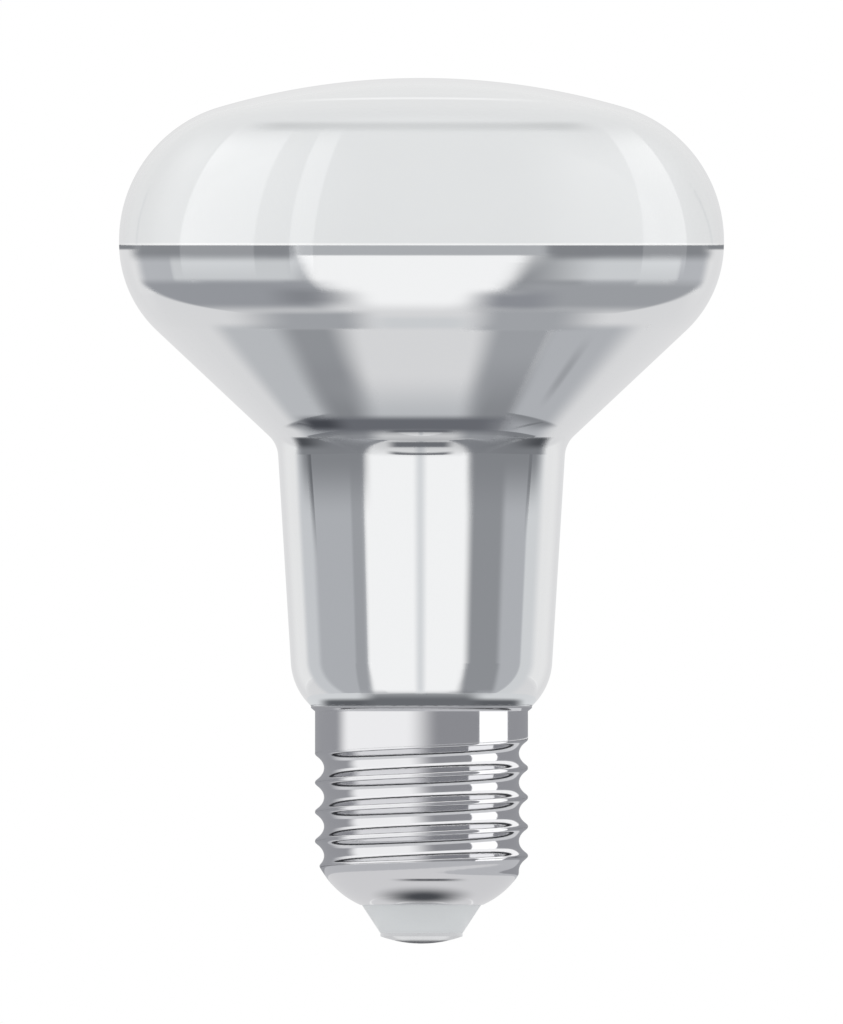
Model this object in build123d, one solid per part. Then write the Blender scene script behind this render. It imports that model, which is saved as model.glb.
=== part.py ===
from build123d import *
import math
import os

# Reflector bulb: blown glass with a mirrored bowl and a frosted face, on an E27 screw cap.
# The lamp axis is Z, the origin is the tip of the centre contact, and the face looks up.
# Lengths are millimetres and angles are degrees.

# Glass bulb, blown in one piece and sealed
bulb_diameter = 75.0          # widest, at the rim between bowl and face
crown_radius = 89.0           # shallow dome of the face
face_shoulder_radius = 17.25  # from the dome over to the rim
rim_band = 0.3                # upright stretch at the widest point
bowl_shoulder_radius = 14.9   # from the rim into the reflector bowl
bowl_half_angle = 46.8        # wall of the bowl, measured from the axis
throat_radius = 3.6           # hollow where the bowl meets the neck
neck_length = 32.5            # from the cap's rim to the corner of neck and bowl
neck_foot_diameter = 32.4     # neck just above its heel
neck_draft = 3.5              # the neck widens upwards by this half angle
heel_radius = 8.0             # the neck's foot, drawn in to the cap's rim
neck_end_depth = 8.0          # narrow end of the neck, inside the cap
neck_end_rounding = 0.8       # fire-polished lower edge of that end

# Screw cap shell, pressed sheet metal with a rolled right-hand knuckle thread
thread_diameter = 26.4        # over the crests
thread_depth = 1.1
thread_pitch = 3.629          # seven turns to the inch
thread_crest = 0.5            # flat left on top of each crest
thread_flank = 40.0           # slope of the groove's sides, from the radial direction
thread_start_angle = 30.0     # where the groove reaches full depth, seen from above, from +X
thread_fade = 90.0            # turn over which the groove's upper end fades out
thread_length = 18.7          # straight part of the cap, from its nose to its rim
collar_height = 4.0           # plain part, from the rim to the full groove
cap_wall = 0.3
rim_flare = 0.5               # the cap's upper edge stands out by this much
rim_flare_height = 0.65
rim_edge = 0.25               # upright edge of the flare
nose_height = 5.95            # rounded part below the thread
nose_radius = 10.5
mouth_diameter = 13.2         # hole for the insulator
mouth_land = 1.0              # flat ring round that hole

# Insulator and centre contact
insulator_height = 3.5        # cone that shows below the cap
insulator_step = 0.2          # the cone is smaller than the cap's nose by this much
plug_height = 2.4             # part of the insulator inside the cap
contact_diameter = 10.2
contact_edge = 0.4            # upright edge of the contact's head
contact_dome = 0.9            # height of the domed face
shank_diameter = 2.4          # contact's shank, pressed into the insulator
press_clearance = 0.02        # insulator in the cap's mouth, shank in the insulator

# Cement that holds the neck's end in the cap
cement_thickness = 0.6
cement_depth = 6.0

# Heights, from the contact's tip upwards
contact_seat = contact_dome + contact_edge
mouth_z = contact_seat + insulator_height
nose_top = mouth_z + nose_height
cap_rim = nose_top + thread_length

# Radii that pieces share
bulb_radius = bulb_diameter / 2
thread_radius = thread_diameter / 2
root_radius = thread_radius - thread_depth
bore_radius = root_radius - cap_wall
neck_end_radius = bore_radius - cement_thickness
rim_radius = thread_radius + rim_flare
mouth_radius = mouth_diameter / 2
nose_foot_radius = mouth_radius + mouth_land
contact_radius = contact_diameter / 2


def glass_bulb():
    """Sealed glass envelope: face, rim, bowl, neck and the neck's end, turned about Z."""
    draft = math.radians(neck_draft)
    wall = math.radians(bowl_half_angle)
    # The heel is an arc that leaves the neck's slope and ends on the cap's rim.
    heel_centre_r = neck_foot_diameter / 2 - heel_radius * math.cos(draft)
    heel_turn = math.acos((rim_radius - heel_centre_r) / heel_radius)
    heel_centre_z = cap_rim + heel_radius * math.sin(heel_turn)

    def on_heel(angle):
        return (heel_centre_r + heel_radius * math.cos(angle),
                heel_centre_z - heel_radius * math.sin(angle))

    neck_foot = on_heel(draft)
    corner_z = cap_rim + neck_length
    corner_r = neck_foot[0] + (corner_z - neck_foot[1]) * math.tan(draft)
    # The bowl's wall runs on to the widest diameter, where its shoulder rounds it off.
    edge_z = corner_z + (bulb_radius - corner_r) / math.tan(wall)
    rim_z = edge_z + bowl_shoulder_radius * math.tan(wall / 2) + rim_band
    # The face's shoulder and crown are tangent arcs, the crown centred on the axis.
    shoulder_r = bulb_radius - face_shoulder_radius
    crown_drop = math.sqrt((crown_radius - face_shoulder_radius) ** 2 - shoulder_r ** 2)
    crown_z = rim_z - crown_drop
    meet = math.atan2(crown_drop, shoulder_r)
    meet_point = (crown_radius * math.cos(meet), crown_z + crown_radius * math.sin(meet))
    top = (0, crown_z + crown_radius)
    neck_end_z = cap_rim - neck_end_depth

    with BuildSketch(Plane.XZ) as section:
        with BuildLine():
            FilletPolyline((0, neck_end_z), (neck_end_radius, neck_end_z),
                           (neck_end_radius, cap_rim), radius=neck_end_rounding)
            Line((neck_end_radius, cap_rim), (rim_radius, cap_rim))
            ThreePointArc(on_heel(heel_turn), on_heel((heel_turn + draft) / 2), neck_foot)
            FilletPolyline(neck_foot, (corner_r, corner_z), (bulb_radius, edge_z),
                           (bulb_radius, rim_z), radius=[throat_radius, bowl_shoulder_radius])
            RadiusArc((bulb_radius, rim_z), meet_point, -face_shoulder_radius)
            RadiusArc(meet_point, top, -crown_radius)
            Line(top, (0, neck_end_z))
        make_face()
    return revolve(section.sketch, axis=Axis.Z)


def groove_section():
    """Section of the thread's groove in the XZ plane, its middle at z = 0."""
    slope = math.tan(math.radians(thread_flank))
    sine = math.sin(math.radians(thread_flank))
    cosine = math.cos(math.radians(thread_flank))
    half_width = (thread_pitch - thread_crest) / 2
    # The root arc is tangent to both flanks, so the other sizes fix its radius.
    arc_radius = (half_width - thread_depth * slope) * cosine / (1 - sine)
    arc_end_r = root_radius + arc_radius * (1 - sine)
    arc_end_z = arc_radius * cosine
    # Past the crests the section opens by half a crest, so turns never meet.
    mouth_half = half_width + thread_crest / 4
    mouth_r = thread_radius + thread_crest / 4 / slope
    with BuildSketch(Plane.XZ) as section:
        with BuildLine():
            ThreePointArc((arc_end_r, -arc_end_z), (root_radius, 0), (arc_end_r, arc_end_z))
            Polyline((arc_end_r, arc_end_z), (mouth_r, mouth_half),
                     (mouth_r, -mouth_half), (arc_end_r, -arc_end_z))
        make_face()
    return section.sketch


def thread_groove():
    """Helical groove: full turns down past the nose, and a conical turn that fades out."""
    section = groove_section()
    top_z = cap_rim - collar_height - (thread_pitch - thread_crest) / 2
    full_height = top_z - (nose_top - thread_pitch)
    full_turn = 360 * full_height / thread_pitch
    full = sweep(section, path=Helix(thread_pitch, full_height, root_radius), is_frenet=True)
    fade_height = thread_pitch * thread_fade / 360
    fade_angle = math.degrees(math.atan2(thread_depth + thread_crest, fade_height))
    fade_path = Helix(thread_pitch, fade_height, root_radius, cone_angle=fade_angle)
    fade = sweep(section, path=fade_path, is_frenet=True)
    return [Pos(0, 0, top_z - full_height) * Rot(0, 0, thread_start_angle - full_turn) * full,
            Pos(0, 0, top_z) * Rot(0, 0, thread_start_angle) * fade]


def cap_shell():
    """Screw cap: flared rim, collar, thread and nose, hollow, with a hole at the bottom."""
    flare_z = cap_rim - rim_flare_height
    with BuildSketch(Plane.XZ) as section:
        with BuildLine():
            Polyline((bore_radius, nose_top), (bore_radius, cap_rim), (rim_radius, cap_rim),
                     (rim_radius, cap_rim - rim_edge), (thread_radius, flare_z),
                     (thread_radius, nose_top))
            RadiusArc((thread_radius, nose_top), (nose_foot_radius, mouth_z), -nose_radius)
            Polyline((nose_foot_radius, mouth_z), (mouth_radius, mouth_z),
                     (mouth_radius, mouth_z + cap_wall), (bore_radius, nose_top))
        make_face()
    shell = revolve(section.sketch, axis=Axis.Z)
    for groove in thread_groove():
        shell -= groove
    return shell


def cap_insulator():
    """Insulator: a cone below the cap, a plug inside it and a hole for the contact's shank."""
    cone_top_radius = nose_foot_radius - insulator_step
    plug_radius = mouth_radius - press_clearance
    hole_radius = shank_diameter / 2 + press_clearance
    plug_top = mouth_z + plug_height
    with BuildSketch(Plane.XZ) as section:
        with BuildLine():
            Polyline((hole_radius, contact_seat), (contact_radius, contact_seat),
                     (cone_top_radius, mouth_z), (plug_radius, mouth_z),
                     (plug_radius, plug_top), (hole_radius, plug_top), close=True)
        make_face()
    return revolve(section.sketch, axis=Axis.Z)


def centre_contact():
    """Centre contact: a domed head and a shank through the insulator."""
    shank_radius = shank_diameter / 2
    shank_top = mouth_z + plug_height
    dome_radius = (contact_radius ** 2 + contact_dome ** 2) / (2 * contact_dome)
    with BuildSketch(Plane.XZ) as section:
        with BuildLine():
            RadiusArc((0, 0), (contact_radius, contact_dome), -dome_radius)
            Polyline((contact_radius, contact_dome), (contact_radius, contact_seat),
                     (shank_radius, contact_seat), (shank_radius, shank_top),
                     (0, shank_top), (0, 0))
        make_face()
    return revolve(section.sketch, axis=Axis.Z)


def basing_cement():
    """Ring of cement between the neck's end and the cap."""
    ring = Circle(bore_radius) - Circle(neck_end_radius)
    return Pos(0, 0, cap_rim - cement_depth) * extrude(ring, cement_depth)


pieces = {
    "glass_bulb": glass_bulb(),
    "cap_shell": cap_shell(),
    "cap_insulator": cap_insulator(),
    "centre_contact": centre_contact(),
    "basing_cement": basing_cement(),
}

os.makedirs("parts", exist_ok=True)
for name, piece in pieces.items():
    export_step(piece, f"parts/{name}.step")
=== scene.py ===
import math

import bpy
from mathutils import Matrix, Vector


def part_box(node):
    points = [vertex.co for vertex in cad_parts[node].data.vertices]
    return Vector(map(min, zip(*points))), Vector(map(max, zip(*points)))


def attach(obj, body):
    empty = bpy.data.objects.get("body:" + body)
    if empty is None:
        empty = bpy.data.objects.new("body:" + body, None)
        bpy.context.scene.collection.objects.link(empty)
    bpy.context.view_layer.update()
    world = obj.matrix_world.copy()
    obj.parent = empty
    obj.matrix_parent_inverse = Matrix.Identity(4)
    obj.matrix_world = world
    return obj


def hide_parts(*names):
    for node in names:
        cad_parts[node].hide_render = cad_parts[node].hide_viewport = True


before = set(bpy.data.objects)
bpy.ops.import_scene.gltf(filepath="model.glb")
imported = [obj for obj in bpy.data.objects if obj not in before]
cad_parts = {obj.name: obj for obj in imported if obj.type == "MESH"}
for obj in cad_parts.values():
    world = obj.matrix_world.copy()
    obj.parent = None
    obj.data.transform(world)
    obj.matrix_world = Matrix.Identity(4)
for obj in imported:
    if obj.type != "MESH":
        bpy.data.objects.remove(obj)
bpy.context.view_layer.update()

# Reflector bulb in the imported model's frame: Z is the lamp's axis, from the contact up to the face.
# Lengths are millimetres and angles are degrees. MM turns millimetres into the frame's metres.
MM = 0.001


def reach(node_name):
    """Lowest height, highest height and outer radius of a CAD node, in millimetres."""
    low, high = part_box(node_name)
    return low.z / MM, high.z / MM, high.x / MM


neck_end_z, face_top, bulb_radius = reach("glass_bulb")
mouth_z, cap_rim, rim_radius = reach("cap_shell")
contact_seat, plug_top, insulator_radius = reach("cap_insulator")
contact_tip, shank_top, contact_radius = reach("centre_contact")

# Glass bulb
crown_radius = 89.0
face_shoulder_radius = 17.25
rim_band = 0.3
bowl_shoulder_radius = 14.9
bowl_half_angle = 46.8
throat_radius = 3.6
neck_length = 32.5
neck_foot_radius = 16.2
neck_draft = 3.5
heel_radius = 8.0
neck_end_radius = 11.2
neck_end_rounding = 0.8
coating_edge = 57.1          # the mirror coating ends this far above the cap's rim
clear_line = 0.2             # bare glass between the mirror and the frosting
frost_edge = 0.15            # the frosting sets in over this much

# Screw cap
thread_radius = 13.2
thread_depth = 1.1
thread_pitch = 3.629
thread_fullness = 0.3        # below 1 the groove is wider than the ridge
ridge_trim = 0.7             # the ridges would stand this much higher if they were sharp
thread_top = 5.5645          # middle of the groove's last full turn, below the cap's rim
thread_start = 30.0
thread_fade = 90.0
fade_climb = 1.4             # the fading end climbs out by this many times the groove's depth
thread_blend = 0.5           # rounding of the ridges and of the groove's way out of the collar
bore_radius = 11.8
cap_wall = 0.3
rim_flare_height = 0.65
rim_edge = 0.25
nose_height = 5.95
nose_radius = 10.5
nose_foot_radius = 7.6
mouth_radius = 6.6

# Insulator and centre contact
plug_radius = 6.58
shank_radius = 1.2
contact_dome = 0.9
dome_radius = (contact_radius ** 2 + contact_dome ** 2) / (2 * contact_dome)

# Mesh density
glass_row = 0.6
glass_columns = 192
thread_row = 0.09
inner_row = 0.5
cap_columns = 200
small_row = 0.15
small_columns = 128
crease = 35.0                # edges sharper than this stay sharp


def node(tree, kind, feeds=None, **settings):
    """Adds a node, sets its properties, and feeds its inputs with values, nodes or sockets."""
    new = tree.nodes.new(kind)
    for name, value in settings.items():
        setattr(new, name, value)
    for name, feed in (feeds or {}).items():
        if isinstance(feed, bpy.types.Node):
            feed = feed.outputs[0]
        if isinstance(feed, bpy.types.NodeSocket):
            tree.links.new(feed, new.inputs[name])
        else:
            new.inputs[name].default_value = feed
    return new


def linear(colour):
    """An sRGB hex colour as linear RGBA."""
    channels = [int(colour[i:i + 2], 16) / 255 for i in (1, 3, 5)]
    curve = [c / 12.92 if c <= 0.04045 else ((c + 0.055) / 1.055) ** 2.4 for c in channels]
    return curve + [1.0]


def surface(name, **sockets):
    """A material with one Principled shader, whose constant sockets are set here."""
    material = bpy.data.materials.new(name)
    material.use_nodes = True
    shader = material.node_tree.nodes["Principled BSDF"]
    for socket, value in sockets.items():
        shader.inputs[socket.replace("_", " ")].default_value = value
    return material, material.node_tree, shader


def per_mm(x, y, z):
    """Scale of a Mapping node whose pattern has features of these sizes, in millimetres."""
    return [1 / (size * MM) for size in (x, y, z)]


# Materials

def aluminised_glass():
    """Blown glass with vapour-coated aluminium inside: a mirror under a clear gloss, a little wavy."""
    material, tree, shader = surface("aluminised_glass", Metallic=1.0, Coat_Weight=1.0,
                                     Coat_Roughness=0.02, Coat_IOR=1.5)
    place = node(tree, "ShaderNodeTexCoord").outputs["Object"]
    shader.inputs["Base Color"].default_value = linear("#F0F1F2")
    # The deposit is a little duller in patches.
    patches = node(tree, "ShaderNodeMapping", {"Vector": place, "Scale": per_mm(9, 9, 6)})
    deposit = node(tree, "ShaderNodeTexNoise", {"Vector": patches, "Scale": 1.0, "Detail": 3.0})
    gloss = node(tree, "ShaderNodeMapRange", {"Value": deposit, "To Min": 0.03, "To Max": 0.05})
    tree.links.new(gloss.outputs[0], shader.inputs["Roughness"])
    # Waves left by blowing, long round the axis and short along it.
    spread = node(tree, "ShaderNodeMapping", {"Vector": place, "Scale": per_mm(18, 18, 4)})
    waves = node(tree, "ShaderNodeTexNoise", {"Vector": spread, "Scale": 1.0, "Detail": 2.0})
    bump = node(tree, "ShaderNodeBump", {"Height": waves, "Strength": 1.0, "Distance": 0.006 * MM})
    tree.links.new(bump.outputs[0], shader.inputs["Normal"])
    return material


def frosted_glass():
    """Blown glass, etched inside and clear outside: an even, faintly cloudy white under a sharp gloss."""
    material, tree, shader = surface("frosted_glass", Roughness=0.04, IOR=1.5, Coat_Weight=1.0,
                                     Coat_Roughness=0.02, Coat_IOR=1.5)
    place = node(tree, "ShaderNodeTexCoord").outputs["Object"]
    height = node(tree, "ShaderNodeSeparateXYZ", {0: place}).outputs["Z"]
    spread = node(tree, "ShaderNodeMapping", {"Vector": place, "Scale": per_mm(16, 16, 9)})
    clouds = node(tree, "ShaderNodeTexNoise", {"Vector": spread, "Scale": 1.0, "Detail": 3.0})
    etched = node(tree, "ShaderNodeMix", {"Factor": clouds, "A": linear("#DFE1E2"),
                                          "B": linear("#E2E4E5")}, data_type="RGBA")
    # A clear line stays free between the frosting and the mirror.
    edge = (cap_rim + coating_edge) * MM
    line = node(tree, "ShaderNodeMapRange",
                {"Value": height, "From Min": edge + clear_line * MM,
                 "From Max": edge + (clear_line + frost_edge) * MM})
    colour = node(tree, "ShaderNodeMix", {"Factor": line, "A": linear("#F4F5F5"),
                                          "B": etched.outputs["Result"]}, data_type="RGBA")
    tree.links.new(colour.outputs["Result"], shader.inputs["Base Color"])
    return material


def nickel_plated_sheet():
    """Bright nickel on drawn sheet: a mirror, softened a little by the grain of the rolling."""
    material, tree, shader = surface("nickel_plated_sheet", Metallic=1.0)
    shader.inputs["Base Color"].default_value = linear("#E6E6E8")
    place = node(tree, "ShaderNodeTexCoord").outputs["Object"]
    spread = node(tree, "ShaderNodeMapping", {"Vector": place, "Scale": per_mm(2.5, 2.5, 0.4)})
    grain = node(tree, "ShaderNodeTexNoise", {"Vector": spread, "Scale": 1.0, "Detail": 3.0})
    gloss = node(tree, "ShaderNodeMapRange", {"Value": grain, "To Min": 0.06, "To Max": 0.14})
    tree.links.new(gloss.outputs[0], shader.inputs["Roughness"])
    return material


def moulded_insulator():
    """Pale grey moulded plastic: satin, with soft highlights and a fine eggshell skin."""
    material, tree, shader = surface("moulded_insulator", Roughness=0.32, IOR=1.5)
    shader.inputs["Base Color"].default_value = linear("#D6D9DB")
    place = node(tree, "ShaderNodeTexCoord").outputs["Object"]
    spread = node(tree, "ShaderNodeMapping", {"Vector": place, "Scale": per_mm(0.4, 0.4, 0.4)})
    skin = node(tree, "ShaderNodeTexNoise", {"Vector": spread, "Scale": 1.0, "Detail": 2.0})
    bump = node(tree, "ShaderNodeBump", {"Height": skin, "Strength": 1.0, "Distance": 0.003 * MM})
    tree.links.new(bump.outputs[0], shader.inputs["Normal"])
    return material


def plated_contact():
    """Pressed, plated contact: bright, with fine turned rings that blur its reflections."""
    material, tree, shader = surface("plated_contact", Metallic=1.0)
    shader.inputs["Base Color"].default_value = linear("#D2D3D5")
    place = node(tree, "ShaderNodeTexCoord").outputs["Object"]
    spread = node(tree, "ShaderNodeMapping", {"Vector": place, "Scale": per_mm(0.8, 0.8, 0.3)})
    grain = node(tree, "ShaderNodeTexNoise", {"Vector": spread, "Scale": 1.0, "Detail": 2.0})
    gloss = node(tree, "ShaderNodeMapRange", {"Value": grain, "To Min": 0.16, "To Max": 0.3})
    tree.links.new(gloss.outputs[0], shader.inputs["Roughness"])
    return material


def basing_cement():
    """Baked resin cement: matte, sandy and grey-brown."""
    material, tree, shader = surface("basing_cement", Roughness=0.9)
    place = node(tree, "ShaderNodeTexCoord").outputs["Object"]
    spread = node(tree, "ShaderNodeMapping", {"Vector": place, "Scale": per_mm(0.5, 0.5, 0.5)})
    sand = node(tree, "ShaderNodeTexNoise", {"Vector": spread, "Scale": 1.0, "Detail": 2.0})
    colour = node(tree, "ShaderNodeMix", {"Factor": sand, "A": linear("#B5AB99"),
                                          "B": linear("#D9D2C4")}, data_type="RGBA")
    tree.links.new(colour.outputs["Result"], shader.inputs["Base Color"])
    return material


# Outlines: lists of (radius, height), from the bottom up along the outside

def polar(centre, radius, angle):
    """The point of a circle at this angle from the radial direction."""
    turn = math.radians(angle)
    return centre[0] + radius * math.cos(turn), centre[1] + radius * math.sin(turn)


def arc(centre, radius, start, end, row):
    """Points of an arc, its angles counted from the radial direction upwards."""
    steps = max(4, math.ceil(radius * math.radians(abs(end - start)) / row))
    return [polar(centre, radius, start + (end - start) * i / steps) for i in range(steps + 1)]


def filled(points, row):
    """The same outline with its straight stretches cut into steps of a row's height."""
    outline = points[:1]
    for (r0, z0), (r1, z1) in zip(points, points[1:]):
        steps = max(1, math.ceil(math.hypot(r1 - r0, z1 - z0) / row))
        outline += [(r0 + (r1 - r0) * i / steps, z0 + (z1 - z0) * i / steps)
                    for i in range(1, steps + 1)]
    return outline


def bulge(low, high, radius):
    """Centre of an outward arc of this radius, and the angles at its low and high end."""
    chord = math.hypot(high[0] - low[0], high[1] - low[1])
    back = math.sqrt(radius ** 2 - chord ** 2 / 4) / chord
    centre = ((low[0] + high[0]) / 2 - (high[1] - low[1]) * back,
              (low[1] + high[1]) / 2 + (high[0] - low[0]) * back)
    angles = [math.degrees(math.atan2(z - centre[1], r - centre[0])) for r, z in (low, high)]
    return centre, angles


class Glass:
    """Centres of the glass outline's arcs, which the studio's cards use too."""
    heel_r = neck_foot_radius - heel_radius * math.cos(math.radians(neck_draft))
    heel_turn = math.degrees(math.acos((rim_radius - heel_r) / heel_radius))
    heel = (heel_r, cap_rim + heel_radius * math.sin(math.radians(heel_turn)))
    neck_foot = polar(heel, heel_radius, -neck_draft)
    corner_z = cap_rim + neck_length
    corner_r = neck_foot[0] + (corner_z - neck_foot[1]) * math.tan(math.radians(neck_draft))
    throat_reach = throat_radius * math.tan(math.radians(bowl_half_angle - neck_draft) / 2)
    throat_foot = polar((corner_r, corner_z), throat_reach, -90 - neck_draft)
    throat = polar(throat_foot, throat_radius, -neck_draft)
    edge_z = corner_z + (bulb_radius - corner_r) / math.tan(math.radians(bowl_half_angle))
    bowl_shoulder = (bulb_radius - bowl_shoulder_radius,
                     edge_z + bowl_shoulder_radius * math.tan(math.radians(bowl_half_angle / 2)))
    bowl_middle = ((corner_r + bulb_radius) / 2, (corner_z + edge_z) / 2)
    face_shoulder = (bulb_radius - face_shoulder_radius, bowl_shoulder[1] + rim_band)
    crown_drop = math.sqrt((crown_radius - face_shoulder_radius) ** 2 - face_shoulder[0] ** 2)
    crown = (0, face_shoulder[1] - crown_drop)
    crown_turn = math.degrees(math.atan2(crown_drop, face_shoulder[0]))


def glass_outline():
    """Half section of the glass, with a row of points where the mirror coating ends."""
    end_centre = (neck_end_radius - neck_end_rounding, neck_end_z + neck_end_rounding)
    bowl_edge = math.degrees(math.asin((cap_rim + coating_edge - Glass.bowl_shoulder[1])
                                       / bowl_shoulder_radius))
    points = [(0, neck_end_z)]
    points += arc(end_centre, neck_end_rounding, -90, 0, glass_row)
    points += [(neck_end_radius, cap_rim)]
    points += arc(Glass.heel, heel_radius, -Glass.heel_turn, -neck_draft, glass_row / 2)
    points += arc(Glass.throat, throat_radius, 180 - neck_draft, 180 - bowl_half_angle, glass_row / 2)
    points += arc(Glass.bowl_shoulder, bowl_shoulder_radius, -bowl_half_angle, bowl_edge, glass_row)
    points += arc(Glass.bowl_shoulder, bowl_shoulder_radius, bowl_edge, 0, glass_row)[1:]
    points += arc(Glass.face_shoulder, face_shoulder_radius, 0, Glass.crown_turn, glass_row)
    points += arc(Glass.crown, crown_radius, Glass.crown_turn, 90, glass_row)[1:]
    points[-1] = (0, face_top)
    return filled(points, glass_row)


def nose_arc():
    """Centre and end angles of the cap's rounded nose."""
    return bulge((nose_foot_radius, mouth_z), (thread_radius, mouth_z + nose_height), nose_radius)


def cap_outline():
    """Closed section of the cap before its thread is rolled: outside up, inside down."""
    centre, (nose_low, nose_high) = nose_arc()
    nose_top = mouth_z + nose_height
    flare_z = cap_rim - rim_flare_height
    nose_points = arc(centre, nose_radius, nose_low, nose_high, thread_row)
    wall = filled([(thread_radius, nose_top), (thread_radius, flare_z)], thread_row)
    rim = [(rim_radius, cap_rim - rim_edge), (rim_radius, cap_rim), (bore_radius, cap_rim)]
    inside = [(bore_radius, nose_top), (mouth_radius, mouth_z + cap_wall), (mouth_radius, mouth_z)]
    return nose_points + wall[1:] + filled([wall[-1]] + rim + inside + nose_points[:1], inner_row)[1:-1]


def insulator_outline():
    """Closed section of the insulator: the cone, the plug and the hole for the shank."""
    points = [(shank_radius, contact_seat), (contact_radius, contact_seat), (insulator_radius, mouth_z),
              (plug_radius, mouth_z), (plug_radius, plug_top), (shank_radius, plug_top)]
    return filled(points + points[:1], small_row)[:-1]


def contact_outline():
    """Half section of the contact: its dome, upright edge and shank."""
    centre, (low, high) = bulge((0, contact_tip), (contact_radius, contact_dome), dome_radius)
    dome = arc(centre, dome_radius, low, high, small_row)
    dome[0] = (0, contact_tip)
    points = dome + [(contact_radius, contact_seat), (shank_radius, contact_seat),
                     (shank_radius, shank_top), (0, shank_top)]
    return filled(points, small_row)


def smooth(mesh):
    """Smooth shading with crisp edges."""
    mesh.shade_smooth()
    mesh.set_sharp_from_angle(angle=math.radians(crease))


def lathe(name, outline, columns, closed=False):
    """Turns an outline about the lamp's axis into a smooth mesh with closed seam and poles."""
    vertices, rings, faces = [], [], []
    for radius, height in outline:
        count = columns if radius > 1e-6 else 1
        rings.append([len(vertices) + i for i in range(count)])
        for i in range(count):
            turn = 2 * math.pi * i / columns
            vertices.append((radius * math.cos(turn) * MM, radius * math.sin(turn) * MM, height * MM))
    for low, high in zip(rings, rings[1:] + rings[:1] if closed else rings[1:]):
        for i in range(columns):
            k = (i + 1) % columns
            corners = [low[i % len(low)], low[k % len(low)], high[k % len(high)], high[i % len(high)]]
            faces.append(list(dict.fromkeys(corners)))
    mesh = bpy.data.meshes.new(name)
    mesh.from_pydata(vertices, [], faces)
    smooth(mesh)
    piece = bpy.data.objects.new(name, mesh)
    bpy.context.scene.collection.objects.link(piece)
    return piece


# Thread

def thread_tree(sizes, material):
    """Node tree that rolls a helical groove with a fading upper end into a turned blank."""
    tree = bpy.data.node_groups.new("rolled_thread", "GeometryNodeTree")
    tree.interface.new_socket("Geometry", in_out="INPUT", socket_type="NodeSocketGeometry")
    for name in sizes:
        tree.interface.new_socket(name, in_out="INPUT", socket_type="NodeSocketFloat")
    tree.interface.new_socket("Geometry", in_out="OUTPUT", socket_type="NodeSocketGeometry")
    size = node(tree, "NodeGroupInput").outputs
    math_node = "ShaderNodeMath"

    point = node(tree, "ShaderNodeSeparateXYZ", {0: node(tree, "GeometryNodeInputPosition")}).outputs
    flat = node(tree, "ShaderNodeCombineXYZ", {"X": point["X"], "Y": point["Y"]})
    radius = node(tree, "ShaderNodeVectorMath", {0: flat}, operation="LENGTH").outputs["Value"]
    # Turns round the axis from where the groove starts to fade.
    angle = node(tree, math_node, {0: point["Y"], 1: point["X"]}, operation="ARCTAN2")
    angle = node(tree, math_node, {0: angle, 1: size["Start"]}, operation="SUBTRACT")
    turn = node(tree, math_node, {0: angle, 1: 2 * math.pi}, operation="DIVIDE")
    # Pitches above the groove's last full turn: a whole number in the middle of each groove.
    above = node(tree, math_node, {0: point["Z"], 1: size["Top"]}, operation="SUBTRACT")
    above = node(tree, math_node, {0: above, 1: size["Pitch"]}, operation="DIVIDE")
    rise = node(tree, math_node, {0: above, 1: turn}, operation="SUBTRACT")
    # A wave from 0 on the ridge to 1 in the groove, raised to a power that narrows the ridge.
    phase = node(tree, math_node, {0: rise, 1: 2 * math.pi}, operation="MULTIPLY")
    wave = node(tree, math_node, {0: phase}, operation="COSINE")
    wave = node(tree, math_node, {0: wave, 1: 0.5, 2: 0.5}, operation="MULTIPLY_ADD", use_clamp=True)
    hollow = node(tree, math_node, {0: wave, 1: size["Fullness"]}, operation="POWER")
    depth = node(tree, math_node, {0: hollow, 1: size["Depth"]}, operation="MULTIPLY")
    # Past its last full turn the groove climbs out of the metal.
    groove = node(tree, math_node, {0: rise}, operation="ROUND")
    past = node(tree, math_node, {0: groove, 1: turn}, operation="ADD")
    past = node(tree, math_node, {0: past, 1: 0.0}, operation="MAXIMUM")
    climb = node(tree, math_node, {0: past, 1: size["Climb"]}, operation="MULTIPLY")
    rolled = node(tree, math_node, {0: size["Crest radius"], 1: depth}, operation="SUBTRACT")
    rolled = node(tree, math_node, {0: rolled, 1: climb}, operation="ADD")
    final = node(tree, math_node, {0: radius, 1: rolled, 2: size["Blend"]}, operation="SMOOTH_MIN")
    share = node(tree, math_node, {0: final, 1: radius}, operation="DIVIDE")
    change = node(tree, math_node, {0: share, 1: 1.0}, operation="SUBTRACT")
    shift = node(tree, "ShaderNodeVectorMath", {0: flat, "Scale": change}, operation="SCALE")
    moved = node(tree, "GeometryNodeSetPosition", {"Geometry": size["Geometry"], "Offset": shift})
    real = node(tree, "GeometryNodeRealizeInstances", {"Geometry": moved})
    dressed = node(tree, "GeometryNodeSetMaterial", {"Geometry": real, "Material": material})
    node(tree, "NodeGroupOutput", {"Geometry": dressed})
    return tree


def roll_thread(blank, material):
    """Runs the thread tree on the blank and leaves the result as its plain mesh."""
    sizes = {"Crest radius": (thread_radius + ridge_trim) * MM,
             "Depth": (thread_depth + ridge_trim) * MM,
             "Pitch": thread_pitch * MM,
             "Fullness": thread_fullness,
             "Top": (cap_rim - thread_top) * MM,
             "Start": math.radians(thread_start),
             "Climb": fade_climb * thread_depth * MM * 360 / thread_fade,
             "Blend": thread_blend * MM}
    tree = thread_tree(sizes, material)
    modifier = blank.modifiers.new("rolled_thread", "NODES")
    modifier.node_group = tree
    for item in tree.interface.items_tree:
        if item.in_out == "INPUT" and item.name in sizes:
            modifier[item.identifier] = sizes[item.name]
    evaluated = blank.evaluated_get(bpy.context.evaluated_depsgraph_get())
    mesh = bpy.data.meshes.new_from_object(evaluated)
    blank.modifiers.remove(modifier)
    blank.data = mesh
    smooth(mesh)


# Pieces

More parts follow.
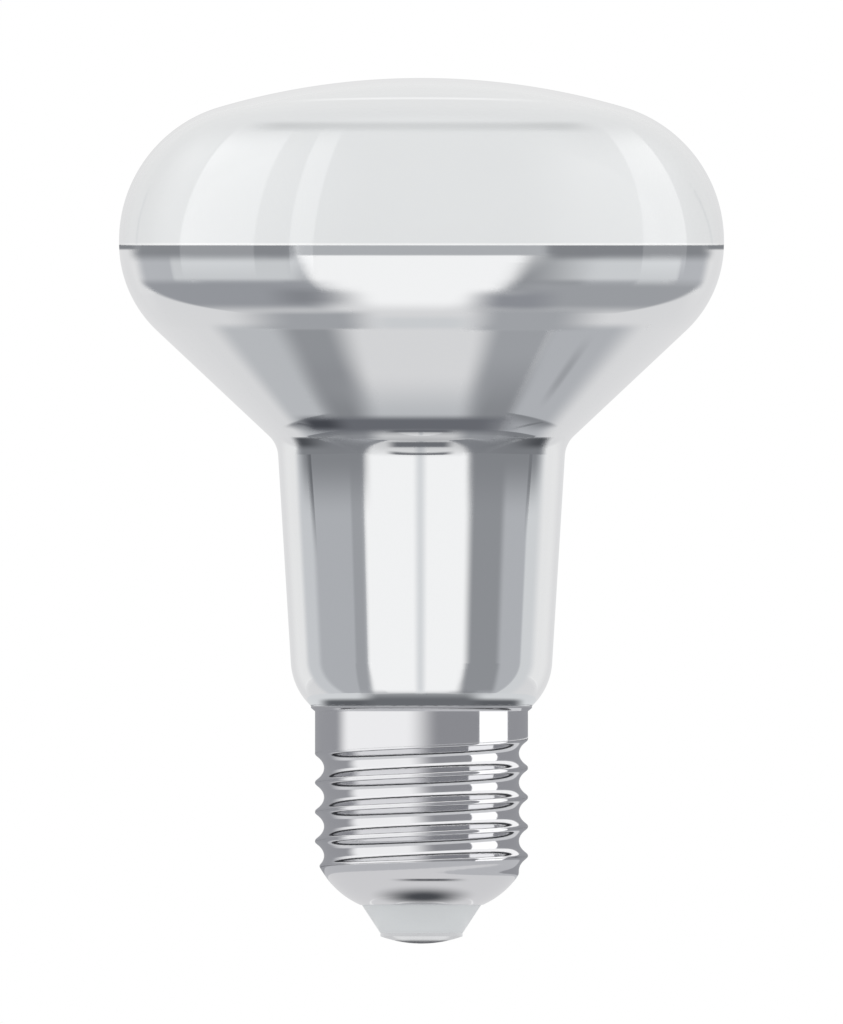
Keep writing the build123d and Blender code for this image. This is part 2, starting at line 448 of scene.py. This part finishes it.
def dress(piece, cad_node):
    """Puts a finished piece in its CAD node's place."""
    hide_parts(cad_node)
    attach(piece, "root")


glass = lathe("glass_envelope", glass_outline(), glass_columns)
glass.data.materials.append(aluminised_glass())
glass.data.materials.append(frosted_glass())
for face in glass.data.polygons:
    face.material_index = int(face.center.z > (cap_rim + coating_edge) * MM)
dress(glass, "glass_bulb")

cap = lathe("screw_cap", cap_outline(), cap_columns, closed=True)
nickel = nickel_plated_sheet()
cap.data.materials.append(nickel)
roll_thread(cap, nickel)
dress(cap, "cap_shell")

insulator = lathe("base_insulator", insulator_outline(), small_columns, closed=True)
insulator.data.materials.append(moulded_insulator())
dress(insulator, "cap_insulator")

contact = lathe("contact_button", contact_outline(), small_columns)
contact.data.materials.append(plated_contact())
dress(contact, "centre_contact")

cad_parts["basing_cement"].material_slots[0].material = basing_cement()


# Studio

photo_px_per_mm = 8.0667
photo_height = 1024
photo_rim_row = 706          # row of the cap's rim in the photograph
camera_distance = 1200
view_height = cap_rim + (photo_rim_row - photo_height / 2) / photo_px_per_mm

camera = bpy.data.objects.new("camera", bpy.data.cameras.new("camera"))
bpy.context.scene.collection.objects.link(camera)
camera.data.type = "ORTHO"
camera.data.ortho_scale = photo_height / photo_px_per_mm * MM
camera.location = (0, -camera_distance * MM, view_height * MM)
camera.rotation_euler = (math.pi / 2, 0, 0)
bpy.context.scene.camera = camera
bpy.context.scene.view_settings.view_transform = "Standard"

ambient = 0.83               # soft light from all round; what the eye sees of the room is white
world = bpy.data.worlds.new("studio")
bpy.context.scene.world = world
world.use_nodes = True
air = world.node_tree
rays = node(air, "ShaderNodeLightPath").outputs
shown = node(air, "ShaderNodeMath", {0: rays["Is Camera Ray"], 1: rays["Is Glossy Ray"]},
             operation="ADD")
shown = node(air, "ShaderNodeMath", {0: shown, 1: rays["Is Transmission Ray"]}, operation="ADD",
             use_clamp=True)
level = node(air, "ShaderNodeMapRange", {"Value": shown, "To Min": ambient, "To Max": 1.0})
air.links.new(level.outputs[0], air.nodes["Background"].inputs["Strength"])
air.nodes["Background"].inputs["Color"].default_value = (1, 1, 1, 1)


def sheet(name, points, columns, material):
    """A stage mesh from rows of points in millimetres."""
    rows = len(points) // columns
    faces = [(j * columns + i, j * columns + i + 1, (j + 1) * columns + i + 1, (j + 1) * columns + i)
             for j in range(rows - 1) for i in range(columns - 1)]
    mesh = bpy.data.meshes.new(name)
    mesh.from_pydata([[c * MM for c in point] for point in points], [], faces)
    mesh.shade_smooth()
    mesh.materials.append(material)
    piece = bpy.data.objects.new(name, mesh)
    bpy.context.scene.collection.objects.link(piece)
    return piece


# The floor shows the lamp's shadow. Reflections and soft light see the white room below it instead.
floor_half = 1500
floor_paper, _, floor_shader = surface("floor_paper", Roughness=0.9, Specular_IOR_Level=0.2)
floor_shader.inputs["Base Color"].default_value = linear("#F1F1F1")
floor_ends = (-floor_half, floor_half)
floor = sheet("floor", [(x, y, 0) for y in floor_ends for x in floor_ends], 2, floor_paper)
floor.visible_glossy = False
floor.visible_diffuse = False


def lamp(name, place, size, power):
    """Soft square lamp that faces the bulb's middle and stays out of its mirror."""
    light = bpy.data.lights.new(name, "AREA")
    light.size = size * MM
    light.energy = power
    stand = bpy.data.objects.new(name, light)
    bpy.context.scene.collection.objects.link(stand)
    stand.location = [c * MM for c in place]
    aim = stand.location.copy()
    aim.z -= view_height * MM
    stand.rotation_euler = aim.to_track_quat("Z", "Y").to_euler()
    stand.visible_glossy = False


lamp("key_lamp", (-700, -900, 550), 900, 2.0)
lamp("fill_lamp", (900, -700, 400), 900, 1.2)


# Cards that only reflections show; the near ones paint reflected shades and highlights on the lamp

def card_material(name, adds):
    """Reflected card: it covers what is behind it, or adds its light to it, and fades at its edges."""
    material = bpy.data.materials.new(name)
    material.use_nodes = True
    tree = material.node_tree
    tree.nodes.clear()
    clear = node(tree, "ShaderNodeBsdfTransparent")
    cover = node(tree, "ShaderNodeAttribute", attribute_name="cover").outputs["Fac"]
    tone = node(tree, "ShaderNodeObjectInfo").outputs["Color"]
    if adds:
        glow = node(tree, "ShaderNodeEmission", {"Color": tone, "Strength": cover})
        mixed = node(tree, "ShaderNodeAddShader", {0: clear, 1: glow})
    else:
        glow = node(tree, "ShaderNodeEmission", {"Color": tone})
        mixed = node(tree, "ShaderNodeMixShader", {0: cover, 1: clear, 2: glow})
    node(tree, "ShaderNodeOutputMaterial", {"Surface": mixed})
    return material


grey_card = card_material("grey_card", adds=False)
light_strip = card_material("light_strip", adds=True)
card_columns = 49
card_rows = 25


def fade(share, soft_low, soft_high):
    """1 inside a range from 0 to 1, falling to 0 over a soft share at each end."""
    low = min(1, share / soft_low) if soft_low else 1
    high = min(1, (1 - share) / soft_high) if soft_high else 1
    return low * low * (3 - 2 * low) * high * high * (3 - 2 * high)


def fade_oval(s, t, soft):
    """1 in the middle of an oval that fills the card, falling to 0 over a soft share at its edge."""
    return fade(max(0, 1 - math.hypot(2 * s - 1, 2 * t - 1)), soft, 0)


def card(name, place, tone, soft=(0, 0, 0, 0), strength=1.0, material=grey_card):
    """Places a card: place(s, t) gives its points for s and t from 0 to 1.

    soft is the share of the card that fades at its first and last s, and at its first and last t.
    One number makes the card an oval that fades all round.
    """
    shares = [(i / (card_columns - 1), j / (card_rows - 1))
              for j in range(card_rows) for i in range(card_columns)]
    piece = sheet(name, [place(s, t) for s, t in shares], card_columns, material)
    cover = piece.data.attributes.new("cover", "FLOAT", "POINT")
    if isinstance(soft, tuple):
        shown_share = [fade(s, soft[0], soft[1]) * fade(t, soft[2], soft[3]) for s, t in shares]
    else:
        shown_share = [fade_oval(s, t, soft) for s, t in shares]
    cover.data.foreach_set("value", shown_share)
    piece.color = [c * strength for c in linear(tone)]
    piece.visible_camera = False
    piece.visible_diffuse = False
    piece.visible_shadow = False
    piece.visible_transmission = False


def around(radius, azimuth, height):
    """A point round the lamp; azimuth 0 is the camera's side, and positive is to its right."""
    turn = math.radians(azimuth)
    return radius * math.sin(turn), -radius * math.cos(turn), height


def between(ends, share):
    """The value at this share of the way from the first end to the last."""
    return ends[0] + (ends[1] - ends[0]) * share


def standing(radius, azimuths, heights):
    """A card that stands on a ring round the lamp."""
    return lambda s, t: around(radius, between(azimuths, s), between(heights, t))


def lying(radii, azimuths, height):
    """A flat card that lies round the lamp."""
    return lambda s, t: around(between(radii, t), between(azimuths, s), height)


def reflected(spot, azimuth, distance):
    """The point so far along the beam that the camera sees reflected in a spot of the lamp.

    The spot is its radius, its height and the tilt of its surface.
    """
    radius, height, tilt = spot
    out = around(math.cos(math.radians(tilt)), azimuth, math.sin(math.radians(tilt)))
    facing = -2 * out[1]
    beam = (facing * out[0], facing * out[1] + 1, facing * out[2])
    return [p + distance * b for p, b in zip(around(radius, azimuth, height), beam)]


def on_arc(centre, radius, tilts):
    """Spots along an arc of the lamp's outline, between two tilts."""
    return lambda t: (*polar(centre, radius, between(tilts, t)), between(tilts, t))


def on_line(first, last):
    """Spots in between two given ones."""
    return lambda t: [between(ends, t) for ends in zip(first, last)]


def neck(*heights):
    """Spots of the neck's upper part between two heights above the cap's rim."""
    return on_line(*[(Glass.corner_r, cap_rim + height, -neck_draft) for height in heights])


def throat(*tilts):
    """Spots of the hollow between neck and bowl."""
    return on_arc(Glass.throat, -throat_radius, tilts)


def bowl_foot(*rises):
    """Spots of the bowl's wall between two heights above its corner with the neck."""
    slope = math.tan(math.radians(bowl_half_angle))
    return on_line(*[(Glass.corner_r + rise * slope, Glass.corner_z + rise, -bowl_half_angle)
                     for rise in rises])


def shoulder(*tilts):
    """Spots of the bowl's shoulder, between its wall and the widest point."""
    return on_arc(Glass.bowl_shoulder, bowl_shoulder_radius, tilts)


def nose(*tilts):
    """Spots of the cap's rounded nose."""
    return on_arc(nose_arc()[0], nose_radius, tilts)


def mirrored(spots, azimuths, distance, lean=(0, 0), bend=1, sag=0):
    """A card that the camera sees on these spots of the lamp, between two azimuths.

    lean turns the left and right edge by so much on the way to the last spot, in a bend above 1.
    sag moves both ends back along the spots by so many times the card's own share of them.
    """
    def place(s, t):
        edges = [azimuth + turn * t ** bend for azimuth, turn in zip(azimuths, lean)]
        return reflected(spots(t - sag * (2 * s - 1) ** 2), between(edges, s), distance)
    return place


def beside(radius, azimuths, heights, ring):
    """A standing card on a ring round the lamp, which a cylinder of this radius shows there."""
    def place(s, t):
        azimuth = between(azimuths, s)
        x, y, _ = around(radius, azimuth, 0)
        beam = around(1, 2 * azimuth, 0)
        along = x * beam[0] + y * beam[1]
        length = math.sqrt(along ** 2 + ring ** 2 - radius ** 2) - along
        return x + length * beam[0], y + length * beam[1], between(heights, t)
    return place


def winding(radii, azimuths, turn, lift):
    """A shelf that winds round level with the thread's ridge, so many turns below its upper end."""
    def place(s, t):
        azimuth = between(azimuths, s)
        rise = (azimuth - 90 - thread_start) / 360 + 0.5 - turn
        return around(between(radii, t), azimuth, cap_rim - thread_top + thread_pitch * rise + lift)
    return place


# The room: a pale wall behind, a little darker in its middle, and a pale table below
far = 600
wall_ring = 900
table_tone = "#DFDFE0"
all_round = (-180, 180)
card("back_wall", standing(wall_ring, (100, 260), (-300, 1700)), "#EEEEEE", (0.03, 0.03, 0.045, 0.3))
card("back_wall_middle", standing(wall_ring - 20, (135, 225), (-500, 400)), "#E0E0E1",
     (0.25, 0.25, 0.1, 0.4))
card("table", lying((0, 5000), all_round, -1500), table_tone)

# Upright bands that the neck reflects, each nearer than the last; near cards paint the inner ones on down
# its heel
outer_bands = [("left_pale", (-63.5, -48), "#CDCFD2", (0.35, 0)),
               ("right_pale", (46, 62), "#D7D9DB", (0, 0.45)),
               ("left", (-53, -24), "#B4B6BA", (0.15, 0.02)),
               ("right", (29, 50), "#B6B8BC", (0.05, 0.08))]
inner_bands = [("front", (-26, 21.5), "#FFFFFF", (0.1, 0.14)),
               ("line", (-4, 3), "#DFE1E3", (0.5, 0.5)),
               ("left_edge", (-31, -22.5), "#A2A4A8", (0.2, 0.45)),
               ("right_edge", (17.5, 38), "#94969A", (0.25, 0.2))]
neck_middle_radius = 16.8
band_heights = (-1450, 70)
band_ring = 680
band_step = 8
for step, (band, azimuths, tone, sides) in enumerate(outer_bands + inner_bands):
    card("neck_" + band, beside(neck_middle_radius, azimuths, band_heights, band_ring - band_step * step),
         tone, (*sides, 0, 0))
heel_spots = on_arc(Glass.heel, heel_radius, (-4, -35))
heel_distance = 2
heel_step = 0.1
for step, (band, azimuths, tone, sides) in enumerate(inner_bands):
    card("heel_" + band, mirrored(heel_spots, azimuths, heel_distance - heel_step * step), tone,
         (*sides, 0, 0.25))

# Painted shade: darker ends of the bands below the throat, and thin dark lines. Here and below, a card that
# is nearer to the lamp covers one that is farther.
neck_top = 4.5
neck_line = 4.4
card("neck_top_left", mirrored(neck(23, 32.4), (-62, -20), neck_top), "#888A8E", (0.2, 0.15, 0.85, 0.12))
card("neck_top_right", mirrored(neck(23, 32.4), (17, 61), neck_top), "#888A8E", (0.15, 0.2, 0.85, 0.12))
card("neck_line_left", mirrored(neck(17, 31.2), (-54.5, -50.5), neck_line), "#6C6E72", (0.8, 0.15, 0.9, 0))
card("neck_line_right", mirrored(neck(20, 31.2), (48.6, 51.2), neck_line), "#7C7E82", (0.4, 0.2, 0.9, 0))

# The heel's painted reflections above the cap: a pale ring and rings of painted shade
beside_rim = rim_radius + 0.02
card("heel_floor", lying((beside_rim, 16.1), all_round, cap_rim - 0.4), "#DADCDE")
card("heel_shade", lying((beside_rim, 15.2), (-74, 74), cap_rim - 0.3), "#606266", (0.12, 0.12, 0, 0.6))
card("heel_shade_front", lying((beside_rim, 17.9), (-38, 38), cap_rim - 0.25), "#6E7074",
     (0.2, 0.2, 0, 0.85))

# Shades in the throat
throat_ring = 2
throat_end = 1.8
card("throat_left", mirrored(throat(-4, -46), (-62, -18), throat_ring), "#84868A", (0.2, 0.5, 0, 0.12))
card("throat_right", mirrored(throat(-4, -46), (17, 62), throat_ring), "#808286", (0.5, 0.2, 0, 0.12))
card("throat_left_end", mirrored(throat(-12, -44), (-61, -36), throat_end), "#505256", (0.3, 0.7, 0.5, 0.2))
card("throat_right_end", mirrored(throat(-12, -44), (34, 61), throat_end), "#505256", (0.7, 0.3, 0.5, 0.2))
card("throat_front", mirrored(throat(-18, -34), (-15, 14), throat_ring), "#74767A", (0.2, 0.2, 0.25, 0.3))

# The dark ring round the bowl's foot, and the shade that fades upwards from it
foot_round = 3
foot_sides = 2.9
foot_ring = 2.6
foot_end = 2.4
card("foot_shade", mirrored(bowl_foot(0.75, 3.75), (-50, 43), foot_ring), "#6C6E74", (0.12, 0.25, 0.4, 0.3))
card("foot_shade_end", mirrored(bowl_foot(1.5, 3.4), (-47, -24), foot_end), "#484A50", (0.3, 0.5, 0.4, 0.4))
card("foot_dim", mirrored(bowl_foot(2.5, 9), (-40, 30), foot_round), "#C0C2C5", (0.3, 0.3, 0.1, 0.9))
card("foot_dim_left", mirrored(bowl_foot(2.5, 12), (-37, -12), foot_sides), "#8A8C90", (0.4, 0.5, 0.1, 0.9))
card("foot_dim_right", mirrored(bowl_foot(2.5, 12), (10, 34), foot_sides), "#8C8E92", (0.5, 0.3, 0.1, 0.9))

# The shoulder's painted reflections: a dim line of painted shade below the coating's edge, a white front,
# and a dark lens on each side
near = 20
close = 12
card("shoulder_pale", mirrored(shoulder(-22, -36), (-80, 80), near + 1.5), table_tone, (0.1, 0.1, 0.3, 0))
card("shoulder_pale_low", mirrored(shoulder(-35.8, -46.8), (-80, 80), close + 1), table_tone,
     (0.1, 0.1, 0, 0.6))
card("coat_dim_left", mirrored(shoulder(-0.8, -10), (-78, -24), near), "#8C8E92", (0.2, 0.05, 0, 0.6))
card("coat_dim_front", mirrored(shoulder(-0.8, -6.3), (-26, 26), near + 0.2), "#B4B6B9",
     (0.05, 0.05, 0, 0.15))
card("coat_dim_right", mirrored(shoulder(-0.8, -10), (23, 78), near), "#888A8E", (0.08, 0.2, 0, 0.6))
card("coat_rim_left", mirrored(shoulder(-0.8, -3.6), (-89, -66), near), "#84868A", (0, 0.3, 0, 0.4))
card("coat_rim_right", mirrored(shoulder(-0.8, -3.6), (66, 89), near), "#84868A", (0.3, 0, 0, 0.4))
card("shoulder_left", mirrored(shoulder(-4, -20), (-57, -20), near + 0.8), "#D0D2D4",
     (0.03, 0.2, 0.3, 0.2))
card("shoulder_right", mirrored(shoulder(-4, -20), (18, 60), near + 0.8), "#D4D6D8",
     (0.5, 0.03, 0.3, 0.2))
card("shoulder_front", mirrored(shoulder(-5, -36), (-27, 29), near + 0.5, (13, -19)), "#FFFFFF",
     (0.3, 0.3, 0, 0.25))
card("low_front", mirrored(shoulder(-36, -46.8), (-14, 14), close), "#D4D6D8", (0.3, 0.3, 0.4, 0.3))
card("shoulder_far_left", mirrored(shoulder(-3, -25), (-74, -50), near + 1), "#BABCC0",
     (0.3, 0.3, 0.1, 0.3))
card("shoulder_far_right", mirrored(shoulder(-3, -25), (54, 75), near + 1), "#BABCC0",
     (0.3, 0.3, 0.1, 0.3))
card("lens_left", mirrored(shoulder(-16.5, -37), (-73, -14), near, (37, 0), 2), "#9C9EA3",
     (0.08, 0.25, 0.2, 0.35))
card("lens_left_end", mirrored(shoulder(-20, -33), (-34, -10), near - 0.5), "#8A8C91",
     (0.4, 0.6, 0.4, 0.4))
card("lens_right", mirrored(shoulder(-16.5, -38), (13, 74), near, (0, -36), 2), "#A2A4A8",
     (0.2, 0.08, 0.25, 0.35))
card("lens_right_end", mirrored(shoulder(-21, -37), (7.5, 31), near - 0.5), "#92949A",
     (0.4, 0.4, 0.4, 0.4))
card("low_left", mirrored(shoulder(-33, -46), (-46, -8), close), "#A6A8AC", (0.5, 0.25, 0.3, 0.1))
card("low_right", mirrored(shoulder(-31, -47), (8, 44), close), "#A8AAAE", (0.25, 0.45, 0.3, 0.1))

# Grey bands on the bowl's wall, and a wisp on its right side
wall_spots = on_arc(Glass.bowl_middle, 0, (-36, -58))
wisp_distance = 8
card("bowl_left", mirrored(wall_spots, (-54, -27), far), "#BFC1C4", (0.3, 0.1, 0.35, 0))
card("bowl_left_dark", mirrored(wall_spots, (-36, -13), far - 10), "#97999D", (0.35, 0.4, 0.35, 0))
card("bowl_right", mirrored(wall_spots, (28, 58), far), "#B6B8BC", (0.1, 0.4, 0.35, 0))
card("bowl_right_dark", mirrored(wall_spots, (11, 32), far - 10), "#A3A5A9", (0.35, 0.2, 0.35, 0))
card("bowl_wisp", mirrored(bowl_foot(4, 14), (38, 43), wisp_distance), "#A2A4A8", (0.5, 0.4, 0.4, 0.5))

# Bands round the cap, with a sill below and a lid above: painted reflections on the cap, the white ones
# painted highlights
cap_ring = 16
cap_view = (7.2, cap_rim - 0.5)
card("cap_bright", beside(thread_radius, (-54, 10), cap_view, cap_ring - 0.2), "#FFFFFF",
     (0.18, 0.3, 0, 0), 1.05)
card("cap_grey", beside(thread_radius, (-12, 33), cap_view, cap_ring), "#98999D")
card("cap_white", beside(thread_radius, (33, 54), cap_view, cap_ring), "#FFFFFF", strength=1.3)
card("cap_dark_right", beside(thread_radius, (54, 89), cap_view, cap_ring), "#9C9DA1")
card("cap_dark_left", beside(thread_radius, (-89, -42), cap_view, cap_ring), "#A0A1A5")
card("cap_sill", lying((13.3, cap_ring), all_round, cap_view[0]), "#C4C5C8")
card("cap_lid", lying((14.2, cap_ring), all_round, cap_view[1]), "#FFFFFF")
card("rim_shade", standing(13.9, all_round, (cap_rim - 0.5, cap_rim - 0.02)), "#A4A5A8")

# Shelves level with the thread's ridges, which paint a reflected dark line of shade and a highlight along
# each
shade_radii = (13.3, 13.8)
glow_radii = (13.8, 15.3)
shelf_gap = 0.02
ridge_turns = 5
for turn in range(ridge_turns):
    card(f"ridge_shade_{turn}", winding(shade_radii, (-170, 170), turn, 0), "#303134", (0.05, 0.05, 0, 0.2))
    card(f"ridge_glow_{turn}", winding(glow_radii, (-90, 120), turn, -shelf_gap), "#FFFFFF",
         (0.2, 0.1, 0, 0.2), 1.1)
    card(f"ridge_glint_{turn}", winding(glow_radii, (-90, 120), turn, shelf_gap), "#DADBDD",
         (0.2, 0.1, 0, 0.2))

# Below the cap: a pale tray, the painted reflected shade of a dark oval and line on the nose, and the
# contact's dark foot, painted shade too
tray_z = -2
nose_oval = 3.5
nose_line = 3.6
contact_distance = 2.5
card("foot_floor", lying((0, cap_ring), all_round, tray_z), table_tone)
card("foot_wall", standing(cap_ring, all_round, (tray_z, cap_view[0])), table_tone)
card("nose_dark", mirrored(nose(-42, -68), (-44, 47), nose_oval), "#4E5054", 0.85)
card("nose_line", mirrored(nose(-36.5, -40), (-22, 32), nose_line), "#58595D",
     (0.4, 0.4, 0.4, 0.4))
dome_spots = on_arc((0, dome_radius), dome_radius, (-75, -90))
card("contact_dark", mirrored(dome_spots, (-89, 89), contact_distance), "#707174", (0.1, 0.1, 0.2, 0))
card("contact_floor", lying((0, 4.5), all_round, tray_z + 0.1), "#FFFFFF")
card("contact_wall", standing(8, all_round, (0.6, 1.6)), "#F6F6F6", (0, 0, 0.2, 0.2))

# Window strips on the face, glowing cards seen only in reflection, which near faint copies paint on over
# the mirror as painted highlights
window = "#FFFFFF"
face_spots = on_arc(Glass.face_shoulder, face_shoulder_radius, (-0.9, 57))
strips = [("strip_left", (-53.3, -33.5), (5, 3), 0.68),
          ("strip_thin", (-26, -21), (2.5, 3), 0.75),
          ("strip_right", (47, 61.5), (0.5, -3.5), 0.5)]
for name, azimuths, lean, strength in strips:
    card(name, mirrored(face_spots, azimuths, far, lean), window, (0.02, 0.02, 0, 0.3), strength,
         light_strip)
    card(name + "_low", mirrored(shoulder(-0.9, -18.5), azimuths, near - 2), window,
         (0.02, 0.02, 0, 0.6), 0.08, light_strip)

# Soft glows beside the strips, and painted reflected lines along the face's top and sides: a band of
# painted shade on top, a faint highlight arc, grey lines down the sides
card("face_glow_left", mirrored(face_spots, (-68, -8), far + 20), window, (0.25, 0.5, 0, 0.4), 0.5,
     light_strip)
card("face_glow_right", mirrored(face_spots, (15, 72), far + 20), window, (0.4, 0.5, 0, 0.5), 0.7,
     light_strip)
face_top_spots = on_arc(Glass.face_shoulder, face_shoulder_radius, (50, 60))
card("face_seam", mirrored(face_top_spots, (-48, 48), far), "#707070", (0.15, 0.15, 0.5, 0.4))
crown_spots = on_arc(Glass.crown, crown_radius, (75.9, 76.8))
card("face_arc_line", mirrored(crown_spots, (-56, 52), far, sag=1.6), window, (0.4, 0.4, 0.3, 0.3), 0.25,
     light_strip)
edge_spots = on_arc(Glass.face_shoulder, face_shoulder_radius, (-0.9, 26))
card("wall_line_left", mirrored(edge_spots, (-71.2, -69.8), far, (2.2, 2.2)), "#D4D6D8",
     (0.3, 0.3, 0, 0.3))
card("wall_line_right", mirrored(edge_spots, (73.4, 74.8), far, (-7, -7)), "#D4D6D8",
     (0.3, 0.3, 0, 0.3))
